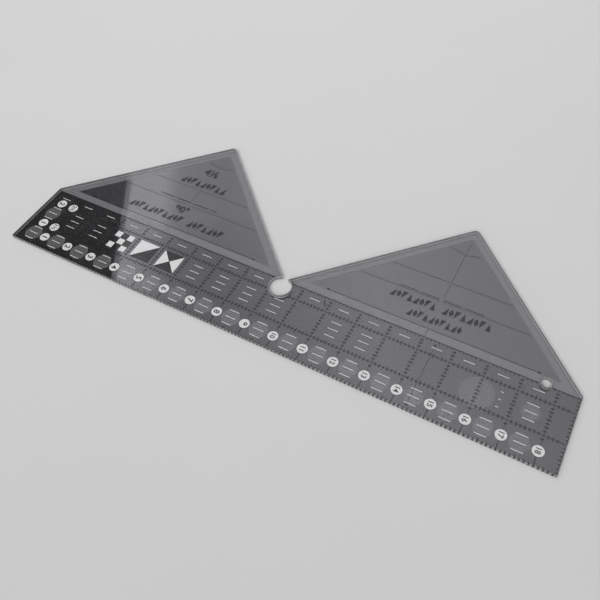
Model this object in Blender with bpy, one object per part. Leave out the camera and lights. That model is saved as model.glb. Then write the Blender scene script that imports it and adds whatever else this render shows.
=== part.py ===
"""Quilting ruler: one clear acrylic sheet with two triangles standing on a long strip.

Grip discs, number discs, frosted bands and quilt blocks are thin inlays in shallow
pockets in the sheet's underside. X runs along the long edge, Y towards the tips of the
triangles and Z up. The origin is the middle of the box that the sheet fills, at its foot.
"""

from math import atan2, cos, pi, radians, sin, sqrt, tan

import bmesh
import bpy
from mathutils import Vector

INCH = 0.0254

# Sheet outline, with the corner of the strip at 0, 0 while it is drawn
LENGTH = 18.625 * INCH
STRIP_WIDTH = 2.5 * INCH
LEG_START = STRIP_WIDTH + 0.02 * INCH
SHEET_THICKNESS = 0.003
NOTCH_X = LENGTH / 2
NOTCH_VERTEX_Y = STRIP_WIDTH - 0.08 * INCH
RELIEF_RADIUS = 0.36 * INCH
RELIEF_Y = STRIP_WIDTH - 0.33 * INCH
TIP_RADIUS = 0.14 * INCH
SHOULDER_RADIUS = 0.1 * INCH
FOOT_RADIUS = 0.03 * INCH
HANGING_HOLE_RADIUS = 0.15 * INCH
HANGING_HOLE_X = LENGTH - INCH
HANGING_HOLE_Y = STRIP_WIDTH + 0.03 * INCH

# Legs rise at 45 degrees, so the height of a tip is half of what the two legs add up to
TIP_RISE = (NOTCH_X + NOTCH_VERTEX_Y - LEG_START) / 2
TIP_Y = LEG_START + TIP_RISE
SHEET_HEIGHT = TIP_Y - TIP_RADIUS * (sqrt(2) - 1)
ORIGIN = Vector((LENGTH / 2, SHEET_HEIGHT / 2))

# Inlays and the pockets that they lie in
INLAY_THICKNESS = 0.0003
INLAY_RECESS = 0.00002
POCKET_DEPTH = 0.00037
POCKET_GAP = 0.0001
CUTTER_OVERRUN = 0.001

# Rows of discs
MARK_ROW_Y = 0.5 * INCH
UPPER_GRIP_Y = 1.5 * INCH
NUMBER_COUNT = 18
NUMBER_RADIUS = 0.1665 * INCH
GRIP_RADIUS = 0.29 * INCH
UPPER_GRIP_RADIUS = 0.265 * INCH
PATCH_X = 16 * INCH
PATCH_Y = 1.42 * INCH
PATCH_RADIUS = 0.5 * INCH
BLOCK_COLUMNS = (3.5, 4.5, 5.5)
BLOCK_SIDE = 0.75 * INCH

# Frosted bands round each triangle
BAND_INSET = 0.06 * INCH
BAND_WIDTH = 0.22 * INCH
BAND_SPACING = 0.0003

DISC_SIDES = 24
ROUND_SIDES = 48
ARC_STEP = radians(11.25)

MATERIALS = {
    "clear_acrylic": ((0.30, 0.31, 0.33), 0.08),
    "white_print": ((0.85, 0.85, 0.84), 0.45),
    "frosted_grip": ((0.62, 0.63, 0.65), 0.70),
    "frosted_print": ((0.55, 0.56, 0.58), 0.55),
}


def clear_scene():
    """Remove every object that the file opened with."""
    for thing in list(bpy.data.objects):
        bpy.data.objects.remove(thing)


def new_collection(name):
    """A collection linked to the scene."""
    collection = bpy.data.collections.new(name)
    bpy.context.scene.collection.children.link(collection)
    return collection


def new_material(name):
    """A Principled material from the table of colours and roughnesses."""
    colour, roughness = MATERIALS[name]
    material = bpy.data.materials.new(name)
    material.use_nodes = True
    shader = material.node_tree.nodes["Principled BSDF"]
    shader.inputs["Base Color"].default_value = (*colour, 1.0)
    shader.inputs["Roughness"].default_value = roughness
    shader.inputs["Metallic"].default_value = 0.0
    material.diffuse_color = (*colour, 1.0)
    return material


def unit(vector):
    """The vector at length 1."""
    return vector / vector.length


def fillet(before, corner, after, radius):
    """Points of the arc that rounds one corner of an outline."""
    towards_before = unit(before - corner)
    towards_after = unit(after - corner)
    half_angle = towards_before.angle(towards_after) / 2
    centre = corner + unit(towards_before + towards_after) * radius / sin(half_angle)
    first = corner + towards_before * radius / tan(half_angle) - centre
    last = corner + towards_after * radius / tan(half_angle) - centre
    start = atan2(first.y, first.x)
    sweep = (atan2(last.y, last.x) - start + pi) % (2 * pi) - pi
    steps = max(2, round(abs(sweep) / ARC_STEP))
    angles = [start + sweep * i / steps for i in range(steps + 1)]
    return [centre + radius * Vector((cos(a), sin(a))) for a in angles]


def relief_arc():
    """The keyhole at the foot of the notch, from its left lip round to its right lip."""
    rise = NOTCH_VERTEX_Y - RELIEF_Y
    half_throat = (sqrt(2 * RELIEF_RADIUS**2 - rise**2) - rise) / 2
    lip = atan2(rise + half_throat, half_throat)
    sweep = 2 * pi - (pi - 2 * lip)
    steps = ROUND_SIDES
    centre = Vector((NOTCH_X, RELIEF_Y))
    angles = [pi - lip + sweep * i / steps for i in range(steps + 1)]
    return [centre + RELIEF_RADIUS * Vector((cos(a), sin(a))) for a in angles]


def sheet_outline():
    """The sheet's outline, anticlockwise from its lower left corner."""
    left_foot = Vector((0, 0))
    right_foot = Vector((LENGTH, 0))
    right_shoulder = Vector((LENGTH, LEG_START))
    right_tip = Vector((LENGTH - TIP_RISE, TIP_Y))
    vertex = Vector((NOTCH_X, NOTCH_VERTEX_Y))
    left_tip = Vector((TIP_RISE, TIP_Y))
    left_shoulder = Vector((0, LEG_START))
    points = fillet(left_shoulder, left_foot, right_foot, FOOT_RADIUS)
    points += fillet(left_foot, right_foot, right_shoulder, FOOT_RADIUS)
    points += fillet(right_foot, right_shoulder, right_tip, SHOULDER_RADIUS)
    points += fillet(right_shoulder, right_tip, vertex, TIP_RADIUS)
    points += reversed(relief_arc())
    points += fillet(vertex, left_tip, left_shoulder, TIP_RADIUS)
    points += fillet(left_tip, left_shoulder, left_foot, SHOULDER_RADIUS)
    return points


def inset(corners, distance):
    """A convex outline, given anticlockwise, moved inwards by a distance."""
    moved = []
    for i, corner in enumerate(corners):
        back = unit(corner - corners[i - 1])
        ahead = unit(corners[(i + 1) % len(corners)] - corner)
        half_angle = back.angle(-ahead) / 2
        moved.append(corner + unit(ahead - back) * distance / sin(half_angle))
    return moved


def add_mesh_object(name, mesh, collection):
    """A new object that shows a mesh."""
    made = bpy.data.objects.new(name, mesh)
    collection.objects.link(made)
    return made


def prism(name, outlines, bottom, top, collection):
    """A flat solid between two heights from outlines, the later ones being holes."""
    curve = bpy.data.curves.new(name, "CURVE")
    curve.dimensions = "2D"
    curve.fill_mode = "BOTH"
    curve.extrude = (top - bottom) / 2
    for outline in outlines:
        spline = curve.splines.new("POLY")
        spline.points.add(len(outline) - 1)
        for point, place in zip(spline.points, outline):
            point.co = (*(place - ORIGIN), 0, 1)
        spline.use_cyclic_u = True
    drawn = add_mesh_object(name + "_outline", curve, collection)
    drawn.location.z = (top + bottom) / 2
    bpy.context.view_layer.update()
    depsgraph = bpy.context.evaluated_depsgraph_get()
    mesh = bpy.data.meshes.new_from_object(drawn.evaluated_get(depsgraph))
    mesh.name = name
    body = bmesh.new()
    body.from_mesh(mesh)
    bmesh.ops.remove_doubles(body, verts=body.verts, dist=1e-6)
    body.to_mesh(mesh)
    body.free()
    made = add_mesh_object(name, mesh, collection)
    made.matrix_world = drawn.matrix_world.copy()
    bpy.data.objects.remove(drawn)
    return made


def cylinder(name, centre, radius, bottom, top, collection, sides=DISC_SIDES):
    """An upright cylinder between two heights."""
    body = bmesh.new()
    bmesh.ops.create_cone(
        body,
        cap_ends=True,
        segments=sides,
        radius1=radius,
        radius2=radius,
        depth=top - bottom,
    )
    mesh = bpy.data.meshes.new(name)
    body.to_mesh(mesh)
    body.free()
    mesh.shade_smooth()
    mesh.set_sharp_from_angle(angle=radians(30))
    made = add_mesh_object(name, mesh, collection)
    made.location = (*(centre - ORIGIN), (top + bottom) / 2)
    return made


def square(centre, side):
    """The corners of a square, anticlockwise."""
    half = side / 2
    return [centre + Vector((x * half, y * half)) for x, y in ((-1, -1), (1, -1), (1, 1), (-1, 1))]


def add_disc(name, centre, radius, material, parts, pockets):
    """A round inlay and the cutter of its pocket."""
    bottom = INLAY_RECESS
    disc = cylinder(name, centre, radius, bottom, bottom + INLAY_THICKNESS, parts)
    disc.data.materials.append(material)
    wide = radius + POCKET_GAP
    cylinder("cut_" + name, centre, wide, -CUTTER_OVERRUN, POCKET_DEPTH, pockets)


def add_numbers(material, parts, pockets):
    """Number discs at each inch along the strip, and the two short rows at its left end."""
    places = [Vector((i * INCH, MARK_ROW_Y)) for i in range(1, NUMBER_COUNT + 1)]
    places += [Vector((x * INCH, y * INCH)) for y in (1, 2) for x in (0.5, 1)]
    for i, place in enumerate(places, 1):
        add_disc(f"number_disc_{i:02d}", place, NUMBER_RADIUS, material, parts, pockets)


def add_grips(material, parts, pockets):
    """Grip discs between the numbers, and one above each end of their row."""
    for i in range(NUMBER_COUNT):
        place = Vector(((i + 0.5) * INCH, MARK_ROW_Y))
        add_disc(f"grip_{i + 1:02d}", place, GRIP_RADIUS, material, parts, pockets)
    for side, x in (("left", 0.5), ("right", NUMBER_COUNT - 0.5)):
        place = Vector((x * INCH, UPPER_GRIP_Y))
        add_disc("grip_upper_" + side, place, UPPER_GRIP_RADIUS, material, parts, pockets)


def add_blocks(material, parts, pockets):
    """The three square quilt blocks."""
    for i, column in enumerate(BLOCK_COLUMNS, 1):
        centre = Vector((column * INCH, UPPER_GRIP_Y))
        name = f"quilt_block_{i}"
        bottom = INLAY_RECESS
        tile = prism(name, [square(centre, BLOCK_SIDE)], bottom, bottom + INLAY_THICKNESS, parts)
        tile.data.materials.append(material)
        wide = square(centre, BLOCK_SIDE + 2 * POCKET_GAP)
        prism("cut_" + name, [wide], -CUTTER_OVERRUN, POCKET_DEPTH, pockets)


def triangle(side):
    """One triangle's corners anticlockwise: base left, base right, tip."""
    drop = TIP_Y - STRIP_WIDTH
    corners = [Vector((TIP_RISE + x * drop, TIP_Y - abs(x) * drop)) for x in (-1, 1, 0)]
    if side == "left":
        return corners
    mirrored = [Vector((LENGTH - corner.x, corner.y)) for corner in corners]
    return [mirrored[1], mirrored[0], mirrored[2]]


def add_bands(material, parts, pockets, hole):
    """Three mitred frosted bands inside each triangle, with one ring-shaped pocket."""
    for side, names in (("left", ("base", "inner", "outer")), ("right", ("base", "outer", "inner"))):
        corners = triangle(side)
        outside = inset(corners, BAND_INSET)
        inside = inset(corners, BAND_INSET + BAND_WIDTH)
        for i, edge in enumerate(names):
            after = (i + 1) % 3
            quad = [outside[i], outside[after], inside[after], inside[i]]
            outline = inset(quad, BAND_SPACING / 2)
            name = f"frosted_band_{side}_{edge}"
            bottom = INLAY_RECESS
            band = prism(name, [outline], bottom, bottom + INLAY_THICKNESS, parts)
            band.data.materials.append(material)
            if (side, edge) == ("right", "base"):
                subtract(band, hole)
        grown = inset(corners, BAND_INSET - POCKET_GAP)
        shrunk = inset(corners, BAND_INSET + BAND_WIDTH + POCKET_GAP)
        prism(f"cut_bands_{side}", [grown, shrunk], -CUTTER_OVERRUN, POCKET_DEPTH, pockets)


def subtract(target, cutter):
    """Cut one object, or all the objects of one collection, out of another."""
    cut = target.modifiers.new("cut", "BOOLEAN")
    cut.operation = "DIFFERENCE"
    cut.solver = "EXACT"
    if isinstance(cutter, bpy.types.Collection):
        cut.operand_type = "COLLECTION"
        cut.collection = cutter
    else:
        cut.object = cutter


def add_sheet(material, parts, pockets, hole):
    """The acrylic sheet with its hanging hole and its pockets."""
    sheet = prism("acrylic_sheet", [sheet_outline()], 0, SHEET_THICKNESS, parts)
    sheet.data.materials.append(material)
    subtract(sheet, hole)
    subtract(sheet, pockets)


def main():
    """Build the ruler."""
    clear_scene()
    parts = new_collection("quilting_ruler")
    pockets = new_collection("pocket_cutters")
    holes = new_collection("hole_cutters")
    materials = {name: new_material(name) for name in MATERIALS}
    hole_place = Vector((HANGING_HOLE_X, HANGING_HOLE_Y))
    top = SHEET_THICKNESS + CUTTER_OVERRUN
    hole = cylinder(
        "cut_hanging_hole", hole_place, HANGING_HOLE_RADIUS, -CUTTER_OVERRUN, top, holes, ROUND_SIDES
    )
    band_hole = cylinder(
        "cut_band_hole",
        hole_place,
        HANGING_HOLE_RADIUS + BAND_SPACING,
        -CUTTER_OVERRUN,
        top,
        holes,
        ROUND_SIDES,
    )
    add_numbers(materials["white_print"], parts, pockets)
    add_grips(materials["frosted_grip"], parts, pockets)
    patch_place = Vector((PATCH_X, PATCH_Y))
    add_disc("round_patch", patch_place, PATCH_RADIUS, materials["frosted_print"], parts, pockets)
    add_blocks(materials["white_print"], parts, pockets)
    add_bands(materials["frosted_print"], parts, pockets, band_hole)
    add_sheet(materials["clear_acrylic"], parts, pockets, hole)
    for cutter in (*pockets.objects, *holes.objects):
        cutter.hide_render = True
        cutter.display_type = "WIRE"


main()
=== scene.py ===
from math import atan2, ceil, cos, pi, radians, sin, sqrt, tan

import bmesh
import bpy
from mathutils import Matrix, Vector


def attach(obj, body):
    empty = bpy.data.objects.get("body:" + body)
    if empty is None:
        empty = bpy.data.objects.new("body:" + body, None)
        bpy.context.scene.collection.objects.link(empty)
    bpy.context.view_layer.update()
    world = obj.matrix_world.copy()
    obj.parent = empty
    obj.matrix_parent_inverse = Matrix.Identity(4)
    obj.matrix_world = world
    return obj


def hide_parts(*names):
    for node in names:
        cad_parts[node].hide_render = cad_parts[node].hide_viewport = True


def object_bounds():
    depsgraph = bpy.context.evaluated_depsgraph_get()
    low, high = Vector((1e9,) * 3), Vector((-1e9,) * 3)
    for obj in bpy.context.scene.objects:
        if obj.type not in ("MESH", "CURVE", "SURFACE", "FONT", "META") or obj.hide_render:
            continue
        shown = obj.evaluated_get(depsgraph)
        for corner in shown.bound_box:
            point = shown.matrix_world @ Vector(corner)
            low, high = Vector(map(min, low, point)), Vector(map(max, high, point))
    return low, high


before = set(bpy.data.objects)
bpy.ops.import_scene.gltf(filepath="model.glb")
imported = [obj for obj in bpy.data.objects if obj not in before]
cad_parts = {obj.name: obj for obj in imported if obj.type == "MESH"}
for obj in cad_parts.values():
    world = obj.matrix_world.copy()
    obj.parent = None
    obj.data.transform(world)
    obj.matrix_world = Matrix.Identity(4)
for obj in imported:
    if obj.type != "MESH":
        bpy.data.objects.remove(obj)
CAD_LOW, CAD_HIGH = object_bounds()

# The ruler is drawn in inches from the lower left corner of its strip, as it is printed.
INCH = 0.0254
LENGTH = (CAD_HIGH.x - CAD_LOW.x) / INCH
THICKNESS = CAD_HIGH.z - CAD_LOW.z
STRIP = 2.5
LEG_START = STRIP + 0.02
NOTCH = Vector((LENGTH / 2, STRIP - 0.08))
RELIEF = Vector((LENGTH / 2, STRIP - 0.33))
RELIEF_RADIUS = 0.36
HANGER = Vector((LENGTH - 1, STRIP + 0.03))
HANGER_RADIUS = 0.15
TIP_RADIUS = 0.14
SHOULDER_RADIUS = 0.1
FOOT_RADIUS = 0.03
TIP_RISE = (NOTCH.x + NOTCH.y - LEG_START) / 2
TIP_Y = LEG_START + TIP_RISE
LEFT_TIP = Vector((TIP_RISE, TIP_Y))
RIGHT_TIP = Vector((LENGTH - TIP_RISE, TIP_Y))
EDGE_ROUND = 0.010
HOLE_ROUND = 0.004
ARC_RINGS = 4
ARC_STEP = radians(3)
SMOOTH_ANGLE = radians(8)
DISC_SIDES = 72
DOT_SIDES = 20
HEAD_ON_GLOSS = 0.058
HOLES = ((RELIEF, RELIEF_RADIUS), (HANGER, HANGER_RADIUS))

# The sheet's material slots
FACE_SLOT, BACK_SLOT, CUT_SLOT, ARRIS_SLOT, TICKED_SLOT = range(5)

# Heights of the printed layers inside the sheet, in metres, lowest first
GRIP_LAYER = (0.00008, 0.00012)
FROST_LAYER = (0.00014, 0.00018)
COLUMN_LAYER = (0.00020, 0.00023)
ROW_LAYER = (0.00024, 0.00027)
WHITE_LAYER = (0.00029, 0.00033)
FIGURE_LAYER = (0.00035, 0.00039)

# Marks along the strip
LAST_INCH = 18
NUMBER_ROW = 0.5
NUMBER_RADIUS = 0.1665
GRIP_RADIUS = 0.29
UPPER_GRIP_RADIUS = 0.265
RIM_WIDTH = 0.022
MIDDLE_ROW = 1.5
PATCH = Vector((16, 1.42))
PATCH_RADIUS = 0.5
DIGIT_HEIGHT = 0.2
LONGER_FIGURE_HEIGHT = 0.16
FIGURE_GROWTH = 0.02
DASH_LENGTH = 0.345
DASH_WIDTH = 0.0215
LOW_DASHES = (0.25, 0.5, 0.75)
MIDDLE_DASHES = (1.25, 1.5, 1.75)
TOP_DASH = 2.25
MIDDLE_DASH_CELLS = (0, 1, 2, 6, 7, 8, 9, 11, 12, 17)
RELIEF_CELL = 9
PATCH_CELL = 16
PATCH_DASH_START = 0.09
BLOCK_HALF = 0.375
BLOCK_GAP = 0.012
FIRST_BLOCK = 3.5

# Grid and ticks
LINE_WIDTH = 0.012
TICK_WIDTH = 0.029
EDGE_TICK_WIDTH = 0.025
INCH_MARK_WIDTH = 0.024
INCH_MARK_TOP = NUMBER_ROW - 0.1
PRINT_EDGE = 0.012
COLUMN_FOOT = 0.02
ROW_MARGIN = 0.03
HOLE_MARGIN = 0.035
TICK_MARGIN = HOLE_MARGIN + 0.03
SHORTEST_LINE = 0.01
STRIP_EIGHTHS = round(STRIP * 8)
FIRST_COLUMN_TICK = 7

# How many times longer the ticks along the edges are than those of the grid
LONG_EDGE_STRETCH = 1.95
RIGHT_END_STRETCH = 1.5
LEFT_END_STRETCH = 1.2

# Ticks that show in the lower cut edge: half their width and their soft rim, in eighths
CUT_TICK_HALF = EDGE_TICK_WIDTH * 5
CUT_TICK_RIM = 0.1

# Guide lines in the triangles
GUIDE_WIDTH = 0.012
GUIDE_ROWS = (4.73, 3.93, 2.82)
LONGEST_GUIDE = 3.34
GUIDE_MARGIN = 0.42
GUIDE_START = 0.04
GUIDE_PITCH = 0.08
GUIDE_DASH_WIDTH = 0.02
GUIDE_DOT_RADIUS = 0.034
DASH_SHARE = 0.6
CENTRE_LINES = (((2.55, 2.85), (4.2, 4.78), (6.02, 6.25)), ((2.55, 2.85), (4.08, 6.55)))

# The shallow V in each triangle: how far its ends are beside the centre line and below the tip
V_FOOT = (0.02, 1.12)
V_HEAD = (0.5, 1.0)

# Ornament in the triangles: left end, right end, lower edge and upper edge of each row
ORNAMENT_ROWS = (
    (3.63, 5.46, 4.87, 5.18),
    (2.62, 4.86, 3.07, 3.37),
    (5.06, 6.50, 3.07, 3.37),
    (12.45, 13.96, 3.50, 3.79),
    (14.15, 15.71, 3.50, 3.79),
    (13.20, 14.96, 3.02, 3.30),
)

# A motif's width as a share of its step, and the step as a share of the row's height
MOTIF_WIDTH = 0.85
MOTIF_PROPORTION = 0.65

# Fine print: left end, right end, middle and height of each row
FINE_PRINT_ROWS = ((3.38, 5.72, 4.07, 0.05), (12.64, 15.49, 3.99, 0.035))
FINE_PRINT_PITCH = 0.12
FINE_PRINT_GROUP = 5

# Figures in the left triangle: text, middle and height
SIZE_FIGURE = ("4½", Vector((4.48, 5.65)), 0.33)
ANGLE_FIGURE = ("90°", Vector((4.52, 3.67)), 0.31)

# Alignment marks on the strip
SEAM_X = 14.42
SEAM_ENDS = (0.2, 2.36)
SEAM_WIDTH = 0.012
SEAM_DOT_RADIUS = 0.03
SLANTING_MARK = ((10.78, 2.36), (10.89, 2.18))
SLANTING_MARK_WIDTH = 0.045

# Frosted bands round the triangles
BAND_INSET = 0.016
BAND_WIDTH = 0.25
BAND_TOP = TIP_Y - 0.1
BITE_MARGIN = 0.02
BITE_STEPS = 24

# The softbox that the sheet mirrors, in metres, with its turn in degrees. Its brightness is
# SOFTBOX_PEAK and fades to 0 over SOFTBOX_FADE at both ends of its length. The profiles scale
# it at distances across its width: the near one up to the first distance in SOFTBOX_NEAR_END
# along its length, the other one from the second, and a mixture between the two.
SOFTBOX_CORNER = (-0.449, -0.297)
SOFTBOX_WIDTH = 1.45
SOFTBOX_LENGTH = 1.55
SOFTBOX_HEIGHT = 1.0
SOFTBOX_TURN = 30.7
SOFTBOX_FADE = 0.2
SOFTBOX_PEAK = 0.86
SOFTBOX_PROFILE = (
    (0.0, 0.42),
    (0.012, 0.45),
    (0.014, 0.95),
    (0.02, 1.0),
    (0.115, 1.0),
    (0.17, 0.62),
    (0.3, 0.54),
    (0.72, 0.76),
    (1.15, 0.58),
)
SOFTBOX_NEAR_PROFILE = (
    (0.0, 0.42),
    (0.012, 0.45),
    (0.014, 0.95),
    (0.02, 1.0),
    (0.06, 0.95),
    (0.13, 0.6),
    (0.2, 0.47),
    (0.28, 0.44),
    (0.45, 0.56),
    (0.72, 0.74),
    (1.15, 0.55),
)
SOFTBOX_NEAR_END = (0.93, 1.06)
SOFTBOX_COLOUR = (0.965, 0.945, 1.0)

# The other lights: places in metres, sizes in metres and, for the key light, in degrees
KEY_PLACE = (0.1, -1.3, 1.4)
KEY_STRENGTH = 1.96
KEY_SIZE = 50
KEY_COLOUR = (1, 0.99, 0.975)
SIDE_PLACE = (-1.0, -0.5, 1.2)
SIDE_STRENGTH = 2.0
SIDE_SIZE = (0.5, 0.5)
SIDE_COLOUR = (1, 0.985, 0.965)
SKY_COLOUR = (0.96, 0.975, 1.0, 1)

# The floor, in metres
FLOOR_HALF = 6
FLOOR_GAP = 0.0002

# The camera: focal length in millimetres, place in metres, angles in degrees
CAMERA_LENS = 39.83
CAMERA_PLACE = (0.1847, -0.3032, 0.42)
CAMERA_TURN = 31.87
CAMERA_PITCH = 53.35
CAMERA_ROLL = -4.29
CAMERA_CLIP = 0.01


def place(point):
    """A point on the ruler, in inches from its corner, as X and Y in metres."""
    return CAD_LOW.x + point[0] * INCH, CAD_LOW.y + point[1] * INCH


# ---------------------------------------------------------------- outlines


def unit(vector):
    """The vector at length 1."""
    return vector / vector.length


def fillet(before, corner, after, radius):
    """Points of the arc that rounds one corner."""
    back = unit(before - corner)
    ahead = unit(after - corner)
    half_angle = back.angle(ahead) / 2
    centre = corner + unit(back + ahead) * radius / sin(half_angle)
    first = corner + back * radius / tan(half_angle) - centre
    last = corner + ahead * radius / tan(half_angle) - centre
    start = atan2(first.y, first.x)
    sweep = (atan2(last.y, last.x) - start + pi) % (2 * pi) - pi
    steps = max(2, ceil(abs(sweep) / ARC_STEP))
    return [centre + radius * Vector((cos(a), sin(a))) for a in spread(start, start + sweep, steps)]


def spread(first, last, steps):
    """Evenly spaced numbers from first to last, both included."""
    return [first + (last - first) * i / steps for i in range(steps + 1)]


def circle(centre, radius, sides=DISC_SIDES):
    """A circle's points, anticlockwise."""
    angles = [2 * pi * i / sides for i in range(sides)]
    return [centre + radius * Vector((cos(a), sin(a))) for a in angles]


def bar(x0, y0, x1, y1):
    """An upright rectangle, anticlockwise."""
    return [Vector((x0, y0)), Vector((x1, y0)), Vector((x1, y1)), Vector((x0, y1))]


def stroke(start, end, width):
    """A straight line of the given width between two points, as a rectangle."""
    start, end = Vector(start), Vector(end)
    side = unit(end - start).orthogonal() * width / 2
    return [start - side, end - side, end + side, start + side]


def inset(corners, distance):
    """A closed outline, anticlockwise, with each side moved inwards."""
    moved = []
    for i, corner in enumerate(corners):
        before = unit(corner - corners[i - 1]).orthogonal()
        after = unit(corners[(i + 1) % len(corners)] - corner).orthogonal()
        middle = unit(before + after)
        moved.append(corner + middle * distance / middle.dot(after))
    return moved


def relief_arc():
    """The keyhole at the foot of the notch, from its right lip round to its left lip."""
    rise = NOTCH.y - RELIEF.y
    half_throat = (sqrt(2 * RELIEF_RADIUS**2 - rise**2) - rise) / 2
    lip = atan2(rise + half_throat, half_throat)
    angles = spread(lip, lip - pi - 2 * lip, ceil(2 * pi / ARC_STEP))
    return [RELIEF + RELIEF_RADIUS * Vector((cos(a), sin(a))) for a in angles]


def sheet_outline():
    """The sheet's outline, anticlockwise from its lower left corner."""
    left_foot = Vector((0, 0))
    right_foot = Vector((LENGTH, 0))
    right_shoulder = Vector((LENGTH, LEG_START))
    left_shoulder = Vector((0, LEG_START))
    points = fillet(left_shoulder, left_foot, right_foot, FOOT_RADIUS)
    points += fillet(left_foot, right_foot, right_shoulder, FOOT_RADIUS)
    points += fillet(right_foot, right_shoulder, RIGHT_TIP, SHOULDER_RADIUS)
    points += fillet(right_shoulder, RIGHT_TIP, NOTCH, TIP_RADIUS)
    points += relief_arc()
    points += fillet(NOTCH, LEFT_TIP, left_shoulder, TIP_RADIUS)
    points += fillet(LEFT_TIP, left_shoulder, left_foot, SHOULDER_RADIUS)
    return points


# ---------------------------------------------------------------- materials


def node(tree, kind, inputs=None, **settings):
    """Add a node. Each input is a value to set or a socket to link from."""
    made = tree.nodes.new(kind)
    for name, value in settings.items():
        setattr(made, name, value)
    for name, value in (inputs or {}).items():
        if isinstance(value, bpy.types.NodeSocket):
            tree.links.new(value, made.inputs[name])
        else:
            made.inputs[name].default_value = value
    return made


def new_material(name):
    """An empty material's node tree with its output node, and the material."""
    material = bpy.data.materials.new(name)
    material.use_nodes = True
    material.node_tree.nodes.clear()
    output = node(material.node_tree, "ShaderNodeOutputMaterial")
    return material, material.node_tree, output


def position(tree, stretch=(1, 1, 1), turn=0.0):
    """The surface point in metres, stretched and turned for a texture."""
    point = node(tree, "ShaderNodeTexCoord").outputs["Object"]
    mapping = {"Vector": point, "Scale": stretch, "Rotation": (0, 0, turn)}
    return node(tree, "ShaderNodeMapping", mapping).outputs["Vector"]


def noise(tree, where, scale, detail=2.0, roughness=0.5):
    """A noise pattern's value."""
    values = {"Vector": where, "Scale": scale, "Detail": detail, "Roughness": roughness}
    return node(tree, "ShaderNodeTexNoise", values).outputs[0]


def remap(tree, value, low, high, from_low=0.0, from_high=1.0):
    """A value moved from one range to another and kept inside it."""
    ends = {"From Min": from_low, "From Max": from_high, "To Min": low, "To Max": high}
    return node(tree, "ShaderNodeMapRange", {"Value": value, **ends}).outputs["Result"]


def shade(tree, value, dark, light):
    """A colour between two, by a value from 0 to 1."""
    mixed = node(tree, "ShaderNodeMix", {"Factor": value}, data_type="RGBA")
    mixed.inputs["A"].default_value = (*dark, 1)
    mixed.inputs["B"].default_value = (*light, 1)
    return mixed.outputs["Result"]


def combine(tree, first, second, operation="ADD"):
    """Two values joined by a sum or another operation."""
    return node(tree, "ShaderNodeMath", {0: first, 1: second}, operation=operation).outputs[0]


def bump(tree, height, distance, strength=1.0):
    """A surface normal from a height pattern."""
    values = {"Height": height, "Distance": distance, "Strength": strength}
    return node(tree, "ShaderNodeBump", values).outputs["Normal"]


def scratches(tree):
    """Fine straight scratches in three directions, as a value that is 1 on a scratch."""
    found = None
    for turn, stretch in ((0.3, 18), (1.2, 22), (2.3, 16)):
        where = position(tree, (4, 4 * stretch, 1), turn)
        line = remap(tree, noise(tree, where, 22, 1), 0, 1, 0.70, 0.74)
        found = line if found is None else combine(tree, found, line, "MAXIMUM")
    return found


def clear_face_material():
    """The polished upper face: clear, glossy, with smudges and fine scratches."""
    material, tree, output = new_material("clear_face")
    smudge = noise(tree, position(tree), 26, 4, 0.6)
    worn = scratches(tree)
    waves = noise(tree, position(tree), 9, 1)
    height = combine(tree, combine(tree, waves, 10.0, "MULTIPLY"), worn, "SUBTRACT")
    normal = bump(tree, height, 0.00004)
    greasy = remap(tree, smudge, 0.006, 0.03, 0.45, 0.75)
    rough = combine(tree, greasy, combine(tree, worn, 0.15, "MULTIPLY"))
    gloss = {"Color": (1, 1, 1, 1), "Roughness": rough, "Normal": normal}
    mirror = node(tree, "ShaderNodeBsdfGlossy", gloss)
    clear = node(tree, "ShaderNodeBsdfTransparent", {"Color": (0.965, 0.97, 0.975, 1)})
    facing = node(tree, "ShaderNodeLayerWeight", {"Blend": 0.5}).outputs["Facing"]
    grazing = combine(tree, facing, 5.0, "POWER")
    share = remap(tree, grazing, HEAD_ON_GLOSS, 1)
    polished = node(tree, "ShaderNodeMixShader", {0: share, 1: clear.outputs[0], 2: mirror.outputs[0]})
    dust = node(tree, "ShaderNodeBsdfDiffuse", {"Color": (0.80, 0.80, 0.83, 1)})
    dusty = remap(tree, smudge, 0.002, 0.014, 0.35, 0.75)
    haze = combine(tree, dusty, combine(tree, worn, 0.02, "MULTIPLY"))
    face = node(tree, "ShaderNodeMixShader", {0: haze, 1: polished.outputs[0], 2: dust.outputs[0]})
    tree.links.new(face.outputs[0], output.inputs["Surface"])
    return material


def principled_material(name, colour, roughness, normal=None, **constants):
    """A Principled material from functions that build its patterns in the tree."""
    material, tree, output = new_material(name)
    values = {"Base Color": colour(tree), "Roughness": roughness(tree)}
    if normal is not None:
        values["Normal"] = normal(tree)
    values.update({key.replace("_", " "): value for key, value in constants.items()})
    shader = node(tree, "ShaderNodeBsdfPrincipled", values)
    tree.links.new(shader.outputs[0], output.inputs["Surface"])
    return material


def back_face_material():
    """The underside as it shows through the sheet: a dark film of painted shade under the clear sheet,
    darkest along the strip and paler in the triangles.
    """

    def smoke(tree):
        cloud = noise(tree, position(tree), 14, 3)
        # Painted shade: the strip is given a much darker tone than the triangles.
        strip = shade(tree, cloud, (0.003, 0.0029, 0.0036), (0.008, 0.0077, 0.0094))
        triangle = shade(tree, cloud, (0.034, 0.0327, 0.0375), (0.050, 0.048, 0.0545))
        height = node(tree, "ShaderNodeSeparateXYZ", {0: position(tree)}).outputs["Y"]
        band_low = place((0, STRIP + BAND_INSET))[1]
        share = remap(tree, height, 0, 1, band_low, band_low + BAND_WIDTH * INCH)
        ends = {"Factor": share, "A": strip, "B": triangle}
        return node(tree, "ShaderNodeMix", ends, data_type="RGBA").outputs["Result"]

    return principled_material(
        "painted_shade_back",
        smoke,
        lambda tree: remap(tree, noise(tree, position(tree), 60, 3), 0.015, 0.05),
        Alpha=0.92,
        IOR=2.4,
    )


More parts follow.
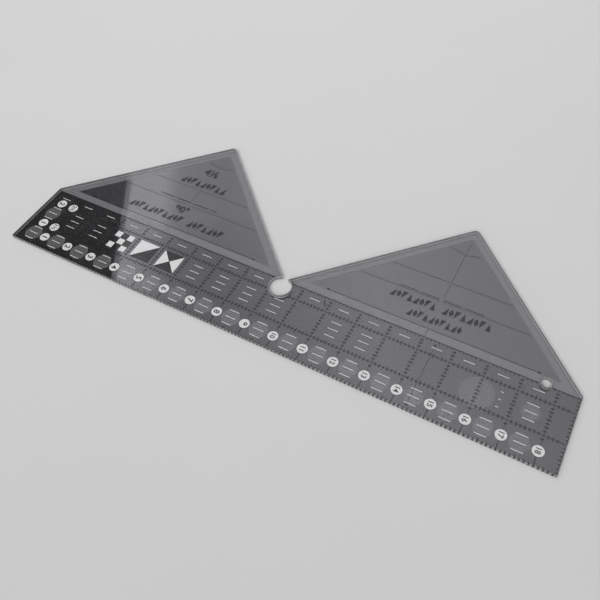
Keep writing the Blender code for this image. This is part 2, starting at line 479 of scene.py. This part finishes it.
def between_ticks(tree):
    """A value that falls to 0 at each eighth of an inch along the ruler."""
    along = node(tree, "ShaderNodeSeparateXYZ", {0: position(tree)}).outputs["X"]
    eighths = combine(tree, combine(tree, along, CAD_LOW.x, "SUBTRACT"), INCH / 8, "DIVIDE")
    distance = combine(tree, eighths, 0.5, "PINGPONG")
    return remap(tree, distance, 0, 1, CUT_TICK_HALF, CUT_TICK_HALF + CUT_TICK_RIM)


def edge_material(name, dark, light, alpha, ticked=False):
    """A laser-cut surface: glossy, with fine upright striations, and with ticks if they show."""

    def striations(tree):
        return noise(tree, position(tree, (1, 1, 0.02)), 1500, 2)

    def tone(tree):
        value = striations(tree)
        if ticked:
            value = combine(tree, value, between_ticks(tree), "MULTIPLY")
        return shade(tree, value, dark, light)

    return principled_material(
        name,
        tone,
        lambda tree: remap(tree, noise(tree, position(tree), 300, 2), 0.10, 0.30),
        lambda tree: bump(tree, striations(tree), 0.00004),
        Alpha=alpha,
        IOR=1.49,
    )


def mottled(scale, dark, light):
    """A function that builds a cloudy mixture of two colours in a tree."""
    return lambda tree: shade(tree, noise(tree, position(tree), scale, 3), dark, light)


def ink_material(name, dark, light):
    """Opaque screen print, very slightly uneven."""
    return principled_material(
        name,
        mottled(900, dark, light),
        lambda tree: remap(tree, noise(tree, position(tree), 500, 2), 0.35, 0.55),
        lambda tree: bump(tree, noise(tree, position(tree), 2500, 1), 0.000008),
        Specular_IOR_Level=0.05,
    )


def dark_ink_material():
    """Thinned black print behind the quilt blocks, which lets some light through."""
    return principled_material(
        "thin_black_ink",
        mottled(400, (0.015, 0.015, 0.018), (0.04, 0.04, 0.045)),
        lambda tree: remap(tree, noise(tree, position(tree), 500, 2), 0.35, 0.55),
        Alpha=0.75,
        Specular_IOR_Level=0.05,
    )


def frosted_ink_material(name, alpha):
    """Translucent frosted print with a fine grain."""

    def grain(tree):
        return noise(tree, position(tree), 1100, 3, 0.7)

    return principled_material(
        name,
        lambda tree: shade(tree, grain(tree), (0.36, 0.36, 0.37), (0.58, 0.58, 0.595)),
        lambda tree: remap(tree, grain(tree), 0.45, 0.75),
        lambda tree: bump(tree, grain(tree), 0.00003),
        Alpha=alpha,
        Specular_IOR_Level=0.2,
    )


def grip_material():
    """A frosted clear grip with fine ridges across it."""

    def ridges(tree):
        wave = {"Vector": position(tree), "Scale": 200.0, "Distortion": 0.4, "Detail": 1.0}
        bands = node(tree, "ShaderNodeTexWave", wave, wave_type="BANDS", bands_direction="Y")
        grain = noise(tree, position(tree), 1300, 3)
        coarse = combine(tree, bands.outputs["Fac"], 0.7, "MULTIPLY")
        return combine(tree, coarse, combine(tree, grain, 0.3, "MULTIPLY"))

    return principled_material(
        "frosted_grip",
        lambda tree: shade(tree, ridges(tree), (0.41, 0.41, 0.42), (0.94, 0.94, 0.95)),
        lambda tree: remap(tree, ridges(tree), 0.45, 0.80),
        lambda tree: bump(tree, ridges(tree), 0.00005),
        Alpha=0.09,
        Specular_IOR_Level=0.2,
    )


def floor_material():
    """Pale matt studio floor."""
    return principled_material(
        "pale_floor",
        mottled(6, (0.725, 0.725, 0.725), (0.75, 0.75, 0.75)),
        lambda tree: remap(tree, noise(tree, position(tree), 40, 3), 0.65, 0.80),
    )


CLEAR_FACE = clear_face_material()
BACK_FACE = back_face_material()
# One acrylic in painted tones: the cut face darker as painted shade, the arris lighter as a painted
# highlight, and the lower cut face paler than the other cut faces as a painted highlight, broken by
# the ticks that show through it.
CUT_EDGE = edge_material("cut_edge_painted_shade", (0.10, 0.10, 0.105), (0.32, 0.32, 0.33), 0.95)
TICKED_EDGE = edge_material("ticked_edge_painted_highlight", (0.008, 0.008, 0.009), (0.42, 0.42, 0.435), 0.97, True)
ARRIS = edge_material("arris_painted_highlight", (0.44, 0.445, 0.455), (0.62, 0.625, 0.635), 0.95)
WHITE_INK = ink_material("white_ink", (0.80, 0.80, 0.80), (0.93, 0.93, 0.92))
BLACK_INK = ink_material("black_ink", (0.012, 0.012, 0.014), (0.032, 0.032, 0.035))
DARK_INK = dark_ink_material()
FROSTED_INK = frosted_ink_material("frosted_ink", 0.26)
PATCH_INK = frosted_ink_material("thin_frosted_ink", 0.17)
GRIP = grip_material()


# ---------------------------------------------------------------- pieces


def add_piece(name, mesh, replaced=()):
    """Link a mesh as a piece that rides on the ruler's one body."""
    piece = bpy.data.objects.new(name, mesh)
    bpy.context.scene.collection.objects.link(piece)
    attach(piece, "root")
    if replaced:
        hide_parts(*replaced)
    return piece


def to_mesh(name, shape, *materials):
    """Finish a bmesh as a mesh that is smooth round its arcs and flat elsewhere."""
    mesh = bpy.data.meshes.new(name)
    shape.to_mesh(mesh)
    shape.free()
    for material in materials:
        mesh.materials.append(material)
    mesh.shade_smooth()
    mesh.set_sharp_from_angle(angle=SMOOTH_ANGLE)
    return mesh


def add_prism(shape, outline, layer):
    """Add one flat closed prism, from an outline in inches, to a bmesh."""
    lower, upper = [[shape.verts.new((*place(p), z)) for p in outline] for z in layer]
    shape.faces.new(lower[::-1])
    shape.faces.new(upper)
    for i in range(len(outline)):
        shape.faces.new((lower[i - 1], lower[i], upper[i], upper[i - 1]))


def add_rim(shape, centre, radius, layer):
    """Add a flat closed ring just inside a radius to a bmesh."""
    rings = []
    low, high = layer
    inside = radius - RIM_WIDTH
    for distance, z in ((inside, low), (radius, low), (radius, high), (inside, high)):
        rings.append([shape.verts.new((*place(p), z)) for p in circle(centre, distance)])
    for i, ring in enumerate(rings):
        inner = rings[i - 1]
        for j in range(len(ring)):
            shape.faces.new((inner[j - 1], inner[j], ring[j], ring[j - 1]))
    bmesh.ops.recalc_face_normals(shape, faces=shape.faces)


def add_print(name, outlines, layer, material, replaced=()):
    """A piece made of flat closed prisms, one for each outline."""
    shape = bmesh.new()
    for outline in outlines:
        add_prism(shape, outline, layer)
    return add_piece(name, to_mesh(name, shape, material), replaced)


def edge_profile(radius):
    """Inset in inches and height in metres of each ring up a side, for a rounding radius."""
    turns = [pi / 2 * i / ARC_RINGS for i in range(ARC_RINGS + 1)]
    lower = [(radius * (1 - sin(a)), radius * INCH * (1 - cos(a))) for a in turns]
    upper = [(depth, THICKNESS - height) for depth, height in reversed(lower)]
    return lower + upper


def side_slot(side, level):
    """The material slot of one face of a side, by its level up from the underside."""
    if max(vert.co.y for vert in side.verts) < CAD_LOW.y + PRINT_EDGE * INCH:
        return TICKED_SLOT
    return CUT_SLOT if level == ARC_RINGS else ARRIS_SLOT


def add_sheet():
    """The acrylic sheet: clear upper face, underside in painted shade, and cut edges with painted
    highlights and painted shade.
    """
    shape = bmesh.new()
    outlines = ((sheet_outline(), EDGE_ROUND), (circle(HANGER, HANGER_RADIUS)[::-1], HOLE_ROUND))
    ends = [[], []]
    for outline, radius in outlines:
        rings = []
        for depth, height in edge_profile(radius):
            ring = inset(outline, depth)
            rings.append([shape.verts.new((*place(p), height)) for p in ring])
        for level, (below, above) in enumerate(zip(rings, rings[1:])):
            for i in range(len(below)):
                side = shape.faces.new((below[i - 1], below[i], above[i], above[i - 1]))
                side.material_index = side_slot(side, level)
        for end, ring in zip(ends, (rings[0], rings[-1])):
            end += [shape.edges.get((ring[i - 1], ring[i])) for i in range(len(ring))]
    for end, slot in zip(ends, (BACK_SLOT, FACE_SLOT)):
        filled = bmesh.ops.triangle_fill(shape, edges=end, use_beauty=True, use_dissolve=False)
        for part in filled["geom"]:
            if isinstance(part, bmesh.types.BMFace):
                part.material_index = slot
    bmesh.ops.recalc_face_normals(shape, faces=shape.faces)
    mesh = to_mesh("sheet", shape, CLEAR_FACE, BACK_FACE, CUT_EDGE, ARRIS, TICKED_EDGE)
    add_piece("sheet", mesh, ["acrylic_sheet"])


def add_figures(name, text, centre, height, turn=0.0):
    """Printed figures, centred on a point and turned by an angle."""
    letters = bpy.data.curves.new(name, "FONT")
    letters.body = text
    letters.extrude = 0.5
    letters.offset = FIGURE_GROWTH
    letters.resolution_u = 6
    drawn = bpy.data.objects.new(name + "_letters", letters)
    bpy.context.scene.collection.objects.link(drawn)
    depsgraph = bpy.context.evaluated_depsgraph_get()
    mesh = bpy.data.meshes.new_from_object(drawn.evaluated_get(depsgraph))
    bpy.data.objects.remove(drawn)
    shape = bmesh.new()
    shape.from_mesh(mesh)
    bpy.data.meshes.remove(mesh)
    bmesh.ops.remove_doubles(shape, verts=shape.verts, dist=0.0001)
    xs = [v.co.x for v in shape.verts]
    ys = [v.co.y for v in shape.verts]
    middle = Vector(((max(xs) + min(xs)) / 2, (max(ys) + min(ys)) / 2))
    scale = height / (max(ys) - min(ys))
    turned = Matrix.Rotation(turn, 2)
    for vert in shape.verts:
        point = centre + turned @ ((vert.co.xy - middle) * scale)
        vert.co = (*place(point), FIGURE_LAYER[vert.co.z > 0])
    add_piece(name, to_mesh(name, shape, BLACK_INK))


def add_numbers():
    """White discs with black figures along the strip and at its left end."""
    marks = [(str(i), Vector((i, NUMBER_ROW))) for i in range(1, LAST_INCH + 1)]
    marks += [(text, Vector((x, y))) for y in (1, 2) for x, text in ((0.5, str(y)), (1, f"{y}½"))]
    for i, (text, centre) in enumerate(marks, 1):
        disc = [circle(centre, NUMBER_RADIUS)]
        replaced = [f"number_disc_{i:02d}"]
        add_print(f"white_disc_{i:02d}", disc, WHITE_LAYER, WHITE_INK, replaced)
        height = DIGIT_HEIGHT if len(text) == 1 else LONGER_FIGURE_HEIGHT
        add_figures(f"figure_{i:02d}", text, centre, height, -pi / 2)


def add_grips():
    """Round frosted grips by the numbers and at both ends of the middle row, and the patch."""
    spots = [(f"{i + 1:02d}", Vector((i + 0.5, NUMBER_ROW)), GRIP_RADIUS) for i in range(LAST_INCH)]
    spots.append(("upper_left", Vector((0.5, MIDDLE_ROW)), UPPER_GRIP_RADIUS))
    spots.append(("upper_right", Vector((LAST_INCH - 0.5, MIDDLE_ROW)), UPPER_GRIP_RADIUS))
    for name, centre, radius in spots:
        shape = bmesh.new()
        add_prism(shape, circle(centre, radius), GRIP_LAYER)
        add_rim(shape, centre, radius, FROST_LAYER)
        add_piece(f"frosted_grip_{name}", to_mesh("grip", shape, GRIP), [f"grip_{name}"])
    patch = [circle(PATCH, PATCH_RADIUS)]
    add_print("frosted_patch", patch, FROST_LAYER, PATCH_INK, ["round_patch"])


def add_dashes():
    """White dashes: across the grips, below the triangles and in parts of the middle row."""
    dashes = []

    def dash(x, y, left=-DASH_LENGTH / 2, right=DASH_LENGTH / 2):
        dashes.append(bar(x + left, y - DASH_WIDTH / 2, x + right, y + DASH_WIDTH / 2))

    for i in range(LAST_INCH):
        for y in LOW_DASHES:
            dash(i + 0.5, y)
        if i != RELIEF_CELL:
            dash(i + 0.5, TOP_DASH)
    for i in MIDDLE_DASH_CELLS:
        for y in MIDDLE_DASHES:
            dash(i + 0.5, y)
    for y in MIDDLE_DASHES:
        dash(PATCH_CELL + 0.5, y, PATCH_DASH_START)
    add_print("white_dashes", dashes, WHITE_LAYER, WHITE_INK)


def turned_corners(corners):
    """An outline and its copies turned by a quarter, a half and three quarters."""
    turns = [Matrix.Rotation(quarter * pi / 2, 2) for quarter in range(4)]
    return [[turn @ Vector(corner) for corner in corners] for turn in turns]


def nine_patch_block():
    """White shapes of a nine patch: the middle square and the four at the corners."""
    third = 2 * BLOCK_HALF / 3
    half = third / 2 - BLOCK_GAP
    places = [(0, 0)] + [(x * third, y * third) for x in (-1, 1) for y in (-1, 1)]
    return [bar(x - half, y - half, x + half, y + half) for x, y in places]


def half_square_block():
    """The white half of a square that is cut along its diagonal."""
    h = BLOCK_HALF
    return [[Vector(p) for p in ((-h, -h), (h, h), (-h, h))]]


def hourglass_block():
    """White shapes of a plain hourglass that lies on its side."""
    h = BLOCK_HALF
    wing = [(BLOCK_GAP, 0), (h, BLOCK_GAP - h), (h, h - BLOCK_GAP)]
    return turned_corners(wing)[::2]


def add_blocks():
    """Three textbook quilt blocks in the middle row, white on thin black."""
    blocks = (nine_patch_block(), half_square_block(), hourglass_block())
    corner = Vector((BLOCK_HALF, BLOCK_HALF))
    for i, shapes in enumerate(blocks, 1):
        centre = Vector((FIRST_BLOCK + i - 1, MIDDLE_ROW))
        tile = bar(*(centre - corner), *(centre + corner))
        white = [[centre + point for point in shape] for shape in shapes]
        add_print(f"block_ground_{i}", [tile], COLUMN_LAYER, DARK_INK, [f"quilt_block_{i}"])
        add_print(f"block_pattern_{i}", white, WHITE_LAYER, WHITE_INK)


def clear_spans(fixed, start, end, upright):
    """Stretches of an upright or level line that stay clear of the two holes."""
    spans = [(start, end)]
    for centre, radius in HOLES:
        across, along = (centre.x, centre.y) if upright else (centre.y, centre.x)
        reach = radius + HOLE_MARGIN
        gap = abs(fixed - across)
        if gap >= reach:
            continue
        half = sqrt(reach**2 - gap**2)
        cuts = [(a, min(b, along - half)) for a, b in spans]
        cuts += [(max(a, along + half), b) for a, b in spans]
        spans = [(a, b) for a, b in cuts if b - a > SHORTEST_LINE]
    return spans


def clear_of_holes(x, y, reach):
    """True if a small mark stays clear of the two holes."""
    return all((Vector((x, y)) - c).length > r + reach for c, r in HOLES)


def tick_reach(eighth):
    """Length of a tick on one side of its line: longer at quarters and halves."""
    if eighth % 4 == 0:
        return 0.07
    return 0.058 if eighth % 2 == 0 else 0.046


def on_inch_line(eighth):
    """True if a tick would fall on an inch line."""
    return eighth % 8 == 0


def among_numbers(eighth):
    """True if a tick on a column would fall among the numbers or on an inch line."""
    return eighth < FIRST_COLUMN_TICK or on_inch_line(eighth)


def cross_ticks(line, count, upright, sides, skip=on_inch_line, stretch=1.0, width=TICK_WIDTH):
    """Ticks every eighth of an inch on an upright or a level line, on one side or both."""
    marks = []
    for eighth in range(1, count):
        along = eighth / 8
        if skip(eighth):
            continue
        for side in sides:
            near = line + side * LINE_WIDTH / 2
            far = line + side * (LINE_WIDTH / 2 + tick_reach(eighth) * stretch)
            a, b = min(near, far), max(near, far)
            x, y = ((a + b) / 2, along) if upright else (along, (a + b) / 2)
            if not clear_of_holes(x, y, TICK_MARGIN):
                continue
            half = width / 2
            if upright:
                marks.append(bar(a, along - half, b, along + half))
            else:
                marks.append(bar(along - half, a, along + half, b))
    return marks


def add_grid():
    """Black inch lines with eighth-inch ticks, and ticks along the edges."""
    columns, rows = [], []
    half = LINE_WIDTH / 2
    for x in range(1, LAST_INCH + 1):
        for a, b in clear_spans(x, COLUMN_FOOT, STRIP, True):
            columns.append(bar(x - half, a, x + half, b))
        columns += cross_ticks(x, STRIP_EIGHTHS, True, (-1, 1), among_numbers)
    eighths = int(LENGTH * 8 - 0.5)
    for y in (1, 2, STRIP):
        for a, b in clear_spans(y, ROW_MARGIN, LENGTH - ROW_MARGIN, False):
            rows.append(bar(a, y - half, b, y + half))
        sides = (-1,) if y == STRIP else (-1, 1)
        rows += cross_ticks(y, eighths, False, sides)
    for x in range(1, LAST_INCH + 1):
        rows.append(bar(x - INCH_MARK_WIDTH / 2, PRINT_EDGE, x + INCH_MARK_WIDTH / 2, INCH_MARK_TOP))

    def edge_ticks(line, count, upright, side, stretch):
        return cross_ticks(line, count, upright, (side,), on_inch_line, stretch, EDGE_TICK_WIDTH)

    near_edge = PRINT_EDGE - half
    far_end = LENGTH - PRINT_EDGE + half
    rows += edge_ticks(near_edge, eighths, False, 1, LONG_EDGE_STRETCH)
    columns += edge_ticks(far_end, STRIP_EIGHTHS, True, -1, RIGHT_END_STRETCH)
    columns += edge_ticks(near_edge, STRIP_EIGHTHS, True, 1, LEFT_END_STRETCH)
    add_print("inch_lines", columns, COLUMN_LAYER, BLACK_INK)
    add_print("cross_lines", rows, ROW_LAYER, BLACK_INK)


def dotted(x0, x1, y, pitch, width):
    """A level row of short dashes."""
    starts = spread(x0, x1 - pitch, round((x1 - x0) / pitch) - 1)
    return [bar(x, y - width / 2, x + pitch * DASH_SHARE, y + width / 2) for x in starts]


def fine_print(x0, x1, y, height):
    """A level row of small marks in groups of five."""
    marks = dotted(x0, x1, y, FINE_PRINT_PITCH, height)
    return [mark for i, mark in enumerate(marks) if i % (FINE_PRINT_GROUP + 1) < FINE_PRINT_GROUP]


def patchwork(x0, x1, y0, y1):
    """A row of solid triangles and diamonds in turn, as on a quilt's border."""
    w = MOTIF_WIDTH
    motifs = (
        [(0, 0), (w, 0), (w, 1)],
        [(w / 2, 0), (w, 0.5), (w / 2, 1), (0, 0.5)],
        [(0, 0), (w, 1), (0, 1)],
        [(0, 0), (w, 0), (w / 2, 1)],
    )
    rise = y1 - y0
    count = max(1, round((x1 - x0) / (rise * MOTIF_PROPORTION)))
    step = (x1 - x0) / count

    def motif(i):
        corners = motifs[i % len(motifs)]
        return [Vector((x0 + step * (i + u), y0 + rise * v)) for u, v in corners]

    return [motif(i) for i in range(count)]


def add_triangle_print():
    """Guide lines, figures and plain ornament rows in the two triangles."""
    lines = []
    for tip in (LEFT_TIP, RIGHT_TIP):
        for low, high in CENTRE_LINES[tip is RIGHT_TIP]:
            lines.append(bar(tip.x - GUIDE_WIDTH / 2, low, tip.x + GUIDE_WIDTH / 2, high))
        for side in (-1, 1):
            foot, head = [(tip.x + side * x, TIP_Y - drop) for x, drop in (V_FOOT, V_HEAD)]
            lines.append(stroke(foot, head, GUIDE_WIDTH))
        for y in GUIDE_ROWS:
            reach = min(TIP_Y - y - GUIDE_MARGIN, LONGEST_GUIDE)
            for side in (-1, 1):
                ends = sorted((tip.x + side * GUIDE_START, tip.x + side * reach))
                lines += dotted(*ends, y, GUIDE_PITCH, GUIDE_DASH_WIDTH)
        for side in (-1, 1):
            dot = Vector((tip.x + side * LONGEST_GUIDE, GUIDE_ROWS[-1]))
            lines.append(circle(dot, GUIDE_DOT_RADIUS, DOT_SIDES))
    ornament = [motif for row in ORNAMENT_ROWS for motif in patchwork(*row)]
    small = [mark for row in FINE_PRINT_ROWS for mark in fine_print(*row)]
    add_print("guide_lines", lines, COLUMN_LAYER, BLACK_INK)
    add_print("ornament_rows", ornament, ROW_LAYER, BLACK_INK)
    add_print("small_ornament_rows", small, ROW_LAYER, BLACK_INK)
    add_figures("size_figure", *SIZE_FIGURE)
    add_figures("angle_figure", *ANGLE_FIGURE)


def add_alignment_marks():
    """The thin seam line with a dot at each end, and a short slanting mark."""
    low, high = SEAM_ENDS
    marks = [bar(SEAM_X - SEAM_WIDTH / 2, low, SEAM_X + SEAM_WIDTH / 2, high)]
    marks += [circle(Vector((SEAM_X, y)), SEAM_DOT_RADIUS, DOT_SIDES) for y in SEAM_ENDS]
    marks.append(stroke(*SLANTING_MARK, SLANTING_MARK_WIDTH))
    add_print("alignment_marks", marks, ROW_LAYER, BLACK_INK)


def triangle(side):
    """One triangle's corners, anticlockwise: base left, base right, tip."""
    tip = LEFT_TIP if side == "left" else RIGHT_TIP
    drop = TIP_Y - STRIP
    return [Vector((tip.x + x * drop, TIP_Y - abs(x) * drop)) for x in (-1, 1, 0)]


def blunt(outline, limit):
    """An outline cut off level at a height."""
    cut = []
    for i, point in enumerate(outline):
        before = outline[i - 1]
        if (before.y > limit) != (point.y > limit):
            cut.append(before.lerp(point, (limit - before.y) / (point.y - before.y)))
        if point.y <= limit:
            cut.append(point)
    return cut


def add_bands():
    """Three frosted bands inside the rim of each triangle."""
    for side, names in (("left", ("base", "inner", "outer")), ("right", ("base", "outer", "inner"))):
        outside = inset(triangle(side), BAND_INSET)
        inside = inset(triangle(side), BAND_INSET + BAND_WIDTH)
        for i, edge in enumerate(names):
            after = (i + 1) % 3
            outline = blunt([outside[i], outside[after], inside[after], inside[i]], BAND_TOP)
            if (side, edge) == ("right", "base"):
                outline = around_hanger(outline)
            name = f"band_{side}_{edge}"
            add_print(name, [outline], FROST_LAYER, FROSTED_INK, [f"frosted_{name}"])


def around_hanger(outline):
    """The band's outline with a bite out of its lower side at the hanging hole."""
    start, end = outline[0], outline[1]
    radius = HANGER_RADIUS + BITE_MARGIN
    rise = start.y - HANGER.y
    turn = atan2(rise, sqrt(radius**2 - rise**2))
    angles = spread(pi - turn, turn, BITE_STEPS)
    arc = [HANGER + radius * Vector((cos(a), sin(a))) for a in angles]
    return [start, *arc, end, *outline[2:]]


# ---------------------------------------------------------------- studio


def add_floor():
    """A wide pale floor just under the ruler."""
    shape = bmesh.new()
    bmesh.ops.create_grid(shape, x_segments=8, y_segments=8, size=FLOOR_HALF)
    floor = bpy.data.objects.new("floor", to_mesh("floor", shape, floor_material()))
    floor.location.z = CAD_LOW.z - FLOOR_GAP
    bpy.context.scene.collection.objects.link(floor)


def aim(thing, eye, target):
    """Put a light at a point, facing another."""
    thing.location = eye
    thing.rotation_euler = (Vector(target) - Vector(eye)).to_track_quat("-Z", "Y").to_euler()


def add_area_light(name, eye, target, size, radiance, colour=(1, 1, 1)):
    """A rectangular softbox of a given brightness."""
    light = bpy.data.lights.new(name, "AREA")
    light.shape = "RECTANGLE"
    light.size, light.size_y = size
    light.energy = 4 * radiance * size[0] * size[1]
    light.color = colour
    lamp = bpy.data.objects.new(name, light)
    bpy.context.scene.collection.objects.link(lamp)
    aim(lamp, eye, target)
    return lamp


def brightness_ramp(tree, along, profile):
    """Brightness by the distance across the softbox, which falls to 0 at the end of its width."""
    ramp = node(tree, "ShaderNodeValToRGB", {"Fac": along})
    stops = ramp.color_ramp.elements
    stops[1].color = (0, 0, 0, 1)
    for distance, brightness in profile:
        stop = stops.new(distance / SOFTBOX_WIDTH) if distance else stops[0]
        stop.color = (brightness, brightness, brightness, 1)
    return ramp.outputs["Color"]


def add_softbox():
    """A large level softbox that the sheet mirrors, brightest along its left side."""
    turn = Matrix.Rotation(radians(SOFTBOX_TURN), 2)
    middle = Vector(SOFTBOX_CORNER) + turn @ Vector((SOFTBOX_WIDTH / 2, SOFTBOX_LENGTH / 2))
    eye = (*middle, SOFTBOX_HEIGHT)
    size = (SOFTBOX_WIDTH, SOFTBOX_LENGTH)
    softbox = add_area_light("overhead_softbox", eye, (0, 0, 0), size, 1.0, SOFTBOX_COLOUR)
    softbox.rotation_euler = (0, 0, radians(SOFTBOX_TURN))
    softbox.data.use_nodes = True
    tree = softbox.data.node_tree
    parametric = node(tree, "ShaderNodeNewGeometry").outputs["Parametric"]
    inside = node(tree, "ShaderNodeSeparateXYZ", {0: parametric})
    near_low, near_high = [distance / SOFTBOX_LENGTH for distance in SOFTBOX_NEAR_END]
    share = remap(tree, inside.outputs["Y"], 0, 1, near_low, near_high)
    near = brightness_ramp(tree, inside.outputs["X"], SOFTBOX_NEAR_PROFILE)
    far = brightness_ramp(tree, inside.outputs["X"], SOFTBOX_PROFILE)
    across = node(tree, "ShaderNodeMix", {"Factor": share, "A": near, "B": far}, data_type="RGBA")
    from_middle = combine(tree, combine(tree, inside.outputs["Y"], 0.5, "SUBTRACT"), 0.0, "ABSOLUTE")
    ends = remap(tree, from_middle, SOFTBOX_PEAK, 0, 0.5 - SOFTBOX_FADE / SOFTBOX_LENGTH, 0.5)
    strength = combine(tree, across.outputs["Result"], ends, "MULTIPLY")
    tree.links.new(strength, tree.nodes["Emission"].inputs["Strength"])


def add_key_light():
    """A broad soft light from the front, even over the whole floor and not mirrored."""
    light = bpy.data.lights.new("key_light", "SUN")
    light.energy = KEY_STRENGTH
    light.angle = radians(KEY_SIZE)
    light.color = KEY_COLOUR
    lamp = bpy.data.objects.new("key_light", light)
    lamp.visible_glossy = False
    bpy.context.scene.collection.objects.link(lamp)
    aim(lamp, KEY_PLACE, (0, 0, 0))


def add_sky():
    """A plain studio surround: pale at the horizon, dimmer overhead, with a glow in front."""
    world = bpy.data.worlds.new("studio")
    world.use_nodes = True
    tree = world.node_tree
    generated = node(tree, "ShaderNodeTexCoord").outputs["Generated"]
    direction = node(tree, "ShaderNodeSeparateXYZ", {0: generated})
    surround = remap(tree, direction.outputs["Z"], 0.58, 0.07, 0.05, 0.5)
    glow = remap(tree, direction.outputs["Y"], 0.45, 0, -0.9, -0.1)
    background = tree.nodes["Background"]
    background.inputs["Color"].default_value = SKY_COLOUR
    tree.links.new(combine(tree, surround, glow), background.inputs["Strength"])
    bpy.context.scene.world = world


def add_lights():
    """Soft studio light. The sheet mirrors the large softbox, but not the key or side light."""
    add_softbox()
    add_key_light()
    side = add_area_light("side_softbox", SIDE_PLACE, (0, 0, 0), SIDE_SIZE, SIDE_STRENGTH, SIDE_COLOUR)
    side.visible_glossy = False
    add_sky()
    bpy.context.scene.view_settings.view_transform = "Standard"


def add_camera():
    """The camera, above and to the right of the ruler, rolled a little clockwise."""
    data = bpy.data.cameras.new("camera")
    data.lens = CAMERA_LENS
    data.clip_start = CAMERA_CLIP
    camera = bpy.data.objects.new("camera", data)
    bpy.context.scene.collection.objects.link(camera)
    turn = Matrix.Rotation(radians(CAMERA_TURN), 4, "Z")
    tilt = Matrix.Rotation(radians(90 - CAMERA_PITCH), 4, "X")
    roll = Matrix.Rotation(radians(CAMERA_ROLL), 4, "Z")
    camera.matrix_world = Matrix.Translation(CAMERA_PLACE) @ turn @ tilt @ roll
    bpy.context.scene.camera = camera


add_camera()
add_sheet()
add_bands()
add_grips()
add_grid()
add_alignment_marks()
add_dashes()
add_numbers()
add_blocks()
add_triangle_print()
add_floor()
add_lights()
